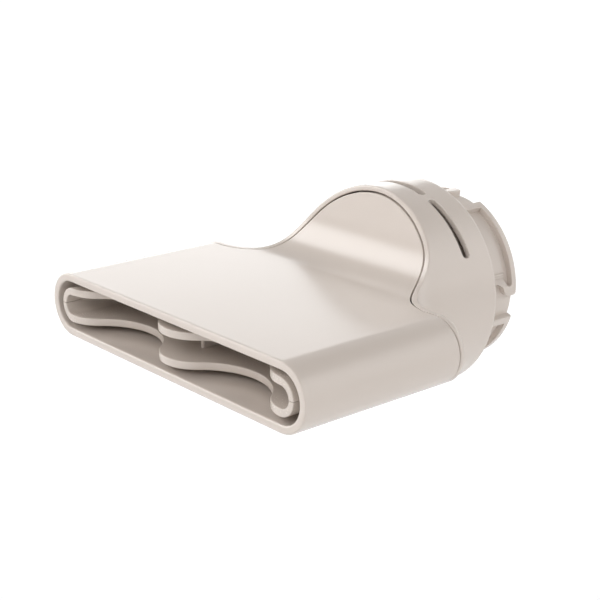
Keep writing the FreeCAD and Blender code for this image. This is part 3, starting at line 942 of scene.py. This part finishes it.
class NOZZLE_OT_duct(bpy.types.Operator):
    """Build both halves of the inner duct with their scalloped front edge and vane"""
    bl_idname = "nozzle.duct"
    bl_label = "Inner duct"

    def execute(self, context):
        form, look = nozzle_form(), context.scene.nozzle_finish
        # The duct's colour is darker than the shell's: painted shade inside the mouth, on top of its own plastic
        # tone.
        finish = plastic("Duct satin", look.duct_stone_with_shade, look.duct_satin, DUCT_TEXTURE)
        for name, side in (("inner_duct_upper", 1), ("inner_duct_lower", -1)):
            piece = make_piece(name + "_piece", [duct_part(form, side), vane_part(form, side)])
            piece.data.materials.append(finish)
            finish_piece(piece, name)
        return {"FINISHED"}


class NOZZLE_OT_stage(bpy.types.Operator):
    """Set up the white studio: floor, sweep, soft boxes overhead, in front and at the side, and the camera"""
    bl_idname = "nozzle.stage"
    bl_label = "Studio"

    def execute(self, context):
        scene, look = context.scene, context.scene.nozzle_finish
        scene.view_settings.view_transform = "Standard"
        self.lay_floor(scene, look)
        self.light_world(scene, look)
        camera = bpy.data.objects.new("Camera", bpy.data.cameras.new("Camera"))
        scene.collection.objects.link(camera)
        camera.data.lens = CAMERA_LENS
        camera.data.sensor_width = CAMERA_SENSOR
        camera.location = CAMERA_PLACE
        camera.rotation_euler = Vector(CAMERA_SIGHT).to_track_quat("-Z", "Y").to_euler()
        scene.camera = camera
        return {"FINISHED"}

    def lay_floor(self, scene, look):
        """Sheet of white paper, a little brighter to the camera and in reflections than its light makes it."""
        mesh = bpy.data.meshes.new("floor")
        z = CAD_BOX[0][2] - look.floor_drop
        corners = [(x * FLOOR_REACH, y * FLOOR_REACH, z) for x, y in ((-1, -1), (1, -1), (1, 1), (-1, 1))]
        mesh.from_pydata(corners, [], [(0, 1, 2, 3)])
        material = bpy.data.materials.new("Studio paper")
        material.use_nodes = True
        tree = material.node_tree
        shader = tree.nodes["Principled BSDF"]
        fibre = tree.nodes.new("ShaderNodeTexNoise")
        place = tree.nodes.new("ShaderNodeTexCoord")
        link(tree, place.outputs["Object"], fibre.inputs["Vector"])
        fibre.inputs["Scale"].default_value = FIBRE_SCALE
        tint = tree.nodes.new("ShaderNodeMix")
        tint.data_type = "RGBA"
        link(tree, fibre.outputs["Fac"], tint.inputs["Factor"])
        tint.inputs["A"].default_value = (*[c * FIBRE_SHADE for c in look.paper], 1.0)
        tint.inputs["B"].default_value = (*look.paper, 1.0)
        link(tree, tint.outputs["Result"], shader.inputs["Base Color"])
        shader.inputs["Roughness"].default_value = PAPER_ROUGHNESS
        seen = tree.nodes.new("ShaderNodeLightPath").outputs
        ray = math_node(tree, "MAXIMUM", seen["Is Camera Ray"], seen["Is Glossy Ray"])
        ray = math_node(tree, "MAXIMUM", ray, seen["Is Transmission Ray"])
        shader.inputs["Emission Color"].default_value = WHITE
        link(tree, math_node(tree, "MULTIPLY", ray, look.floor_glow), shader.inputs["Emission Strength"])
        mesh.materials.append(material)
        floor = bpy.data.objects.new("floor", mesh)
        scene.collection.objects.link(floor)

    def light_world(self, scene, look):
        """World whose light is the belts of the sweep and the soft boxes added up."""
        world = bpy.data.worlds.new("Studio")
        scene.world = world
        world.use_nodes = True
        tree = world.node_tree
        facing = tree.nodes.new("ShaderNodeTexCoord").outputs["Generated"]
        parts = tree.nodes.new("ShaderNodeSeparateXYZ")
        link(tree, facing, parts.inputs[0])
        level_facing = tree.nodes.new("ShaderNodeCombineXYZ")
        for axis in "XY":
            link(tree, parts.outputs[axis], level_facing.inputs[axis])
        flat = tree.nodes.new("ShaderNodeVectorMath")
        flat.operation = "NORMALIZE"
        link(tree, level_facing.outputs[0], flat.inputs[0])
        height = math_node(tree, "ARCSINE", parts.outputs["Z"])
        light = 0.0
        heights = [math.radians(belt[0]) for belt in SWEEP_BELTS] + [math.radians(SWEEP_TOP)]
        for index, (_, strength, lean, turn) in enumerate(SWEEP_BELTS):
            side = dot_node(tree, flat.outputs[0], level_direction(turn))
            belt = math_node(tree, "ADD", math_node(tree, "MULTIPLY", side, lean), 1.0)
            belt = math_node(tree, "MULTIPLY", belt,
                             fade_node(tree, height, heights[index], heights[index + 1], strength, 0.0))
            if index:
                belt = math_node(tree, "MULTIPLY", belt,
                                 fade_node(tree, height, heights[index - 1], heights[index], 0.0, 1.0))
            light = math_node(tree, "ADD", light, belt)
        for turn, rise, reach, edge, strength in SOFT_BOXES:
            flat_x, flat_y, _ = level_direction(turn)
            out, up = math.cos(math.radians(rise)), math.sin(math.radians(rise))
            off = math_node(tree, "ARCCOSINE", dot_node(tree, facing, (out * flat_x, out * flat_y, up)))
            inner, outer = math.radians(reach - edge / 2), math.radians(reach + edge / 2)
            light = math_node(tree, "ADD", light, fade_node(tree, off, inner, outer, strength, 0.0))
        light = math_node(tree, "MULTIPLY", light, look.light_level)
        shine = tree.nodes["Background"]
        shine.inputs["Color"].default_value = WHITE
        link(tree, light, shine.inputs["Strength"])


STEPS = (NOZZLE_OT_shell, NOZZLE_OT_collar, NOZZLE_OT_base, NOZZLE_OT_duct, NOZZLE_OT_stage)


class NOZZLE_PT_panel(bpy.types.Panel):
    """Pieces of the nozzle and its studio"""
    bl_idname = "NOZZLE_PT_panel"
    bl_label = "Concentrator nozzle"
    bl_space_type = "VIEW_3D"
    bl_region_type = "UI"
    bl_category = "Nozzle"

    def draw(self, context):
        for step in STEPS:
            self.layout.operator(step.bl_idname)
        for group in (context.scene.nozzle_sizes, context.scene.nozzle_finish):
            box = self.layout.box()
            for name in group.__annotations__:
                box.prop(group, name)


CLASSES = (NozzleSizes, NozzleFinish) + STEPS + (NOZZLE_PT_panel,)


def register():
    for entry in CLASSES:
        bpy.utils.register_class(entry)
    bpy.types.Scene.nozzle_sizes = PointerProperty(type=NozzleSizes)
    bpy.types.Scene.nozzle_finish = PointerProperty(type=NozzleFinish)


def unregister():
    del bpy.types.Scene.nozzle_finish
    del bpy.types.Scene.nozzle_sizes
    for entry in reversed(CLASSES):
        bpy.utils.unregister_class(entry)


def main():
    register()
    bpy.ops.nozzle.shell()
    bpy.ops.nozzle.collar()
    bpy.ops.nozzle.base()
    bpy.ops.nozzle.duct()
    bpy.ops.nozzle.stage()


if __name__ == "__main__":
    main()
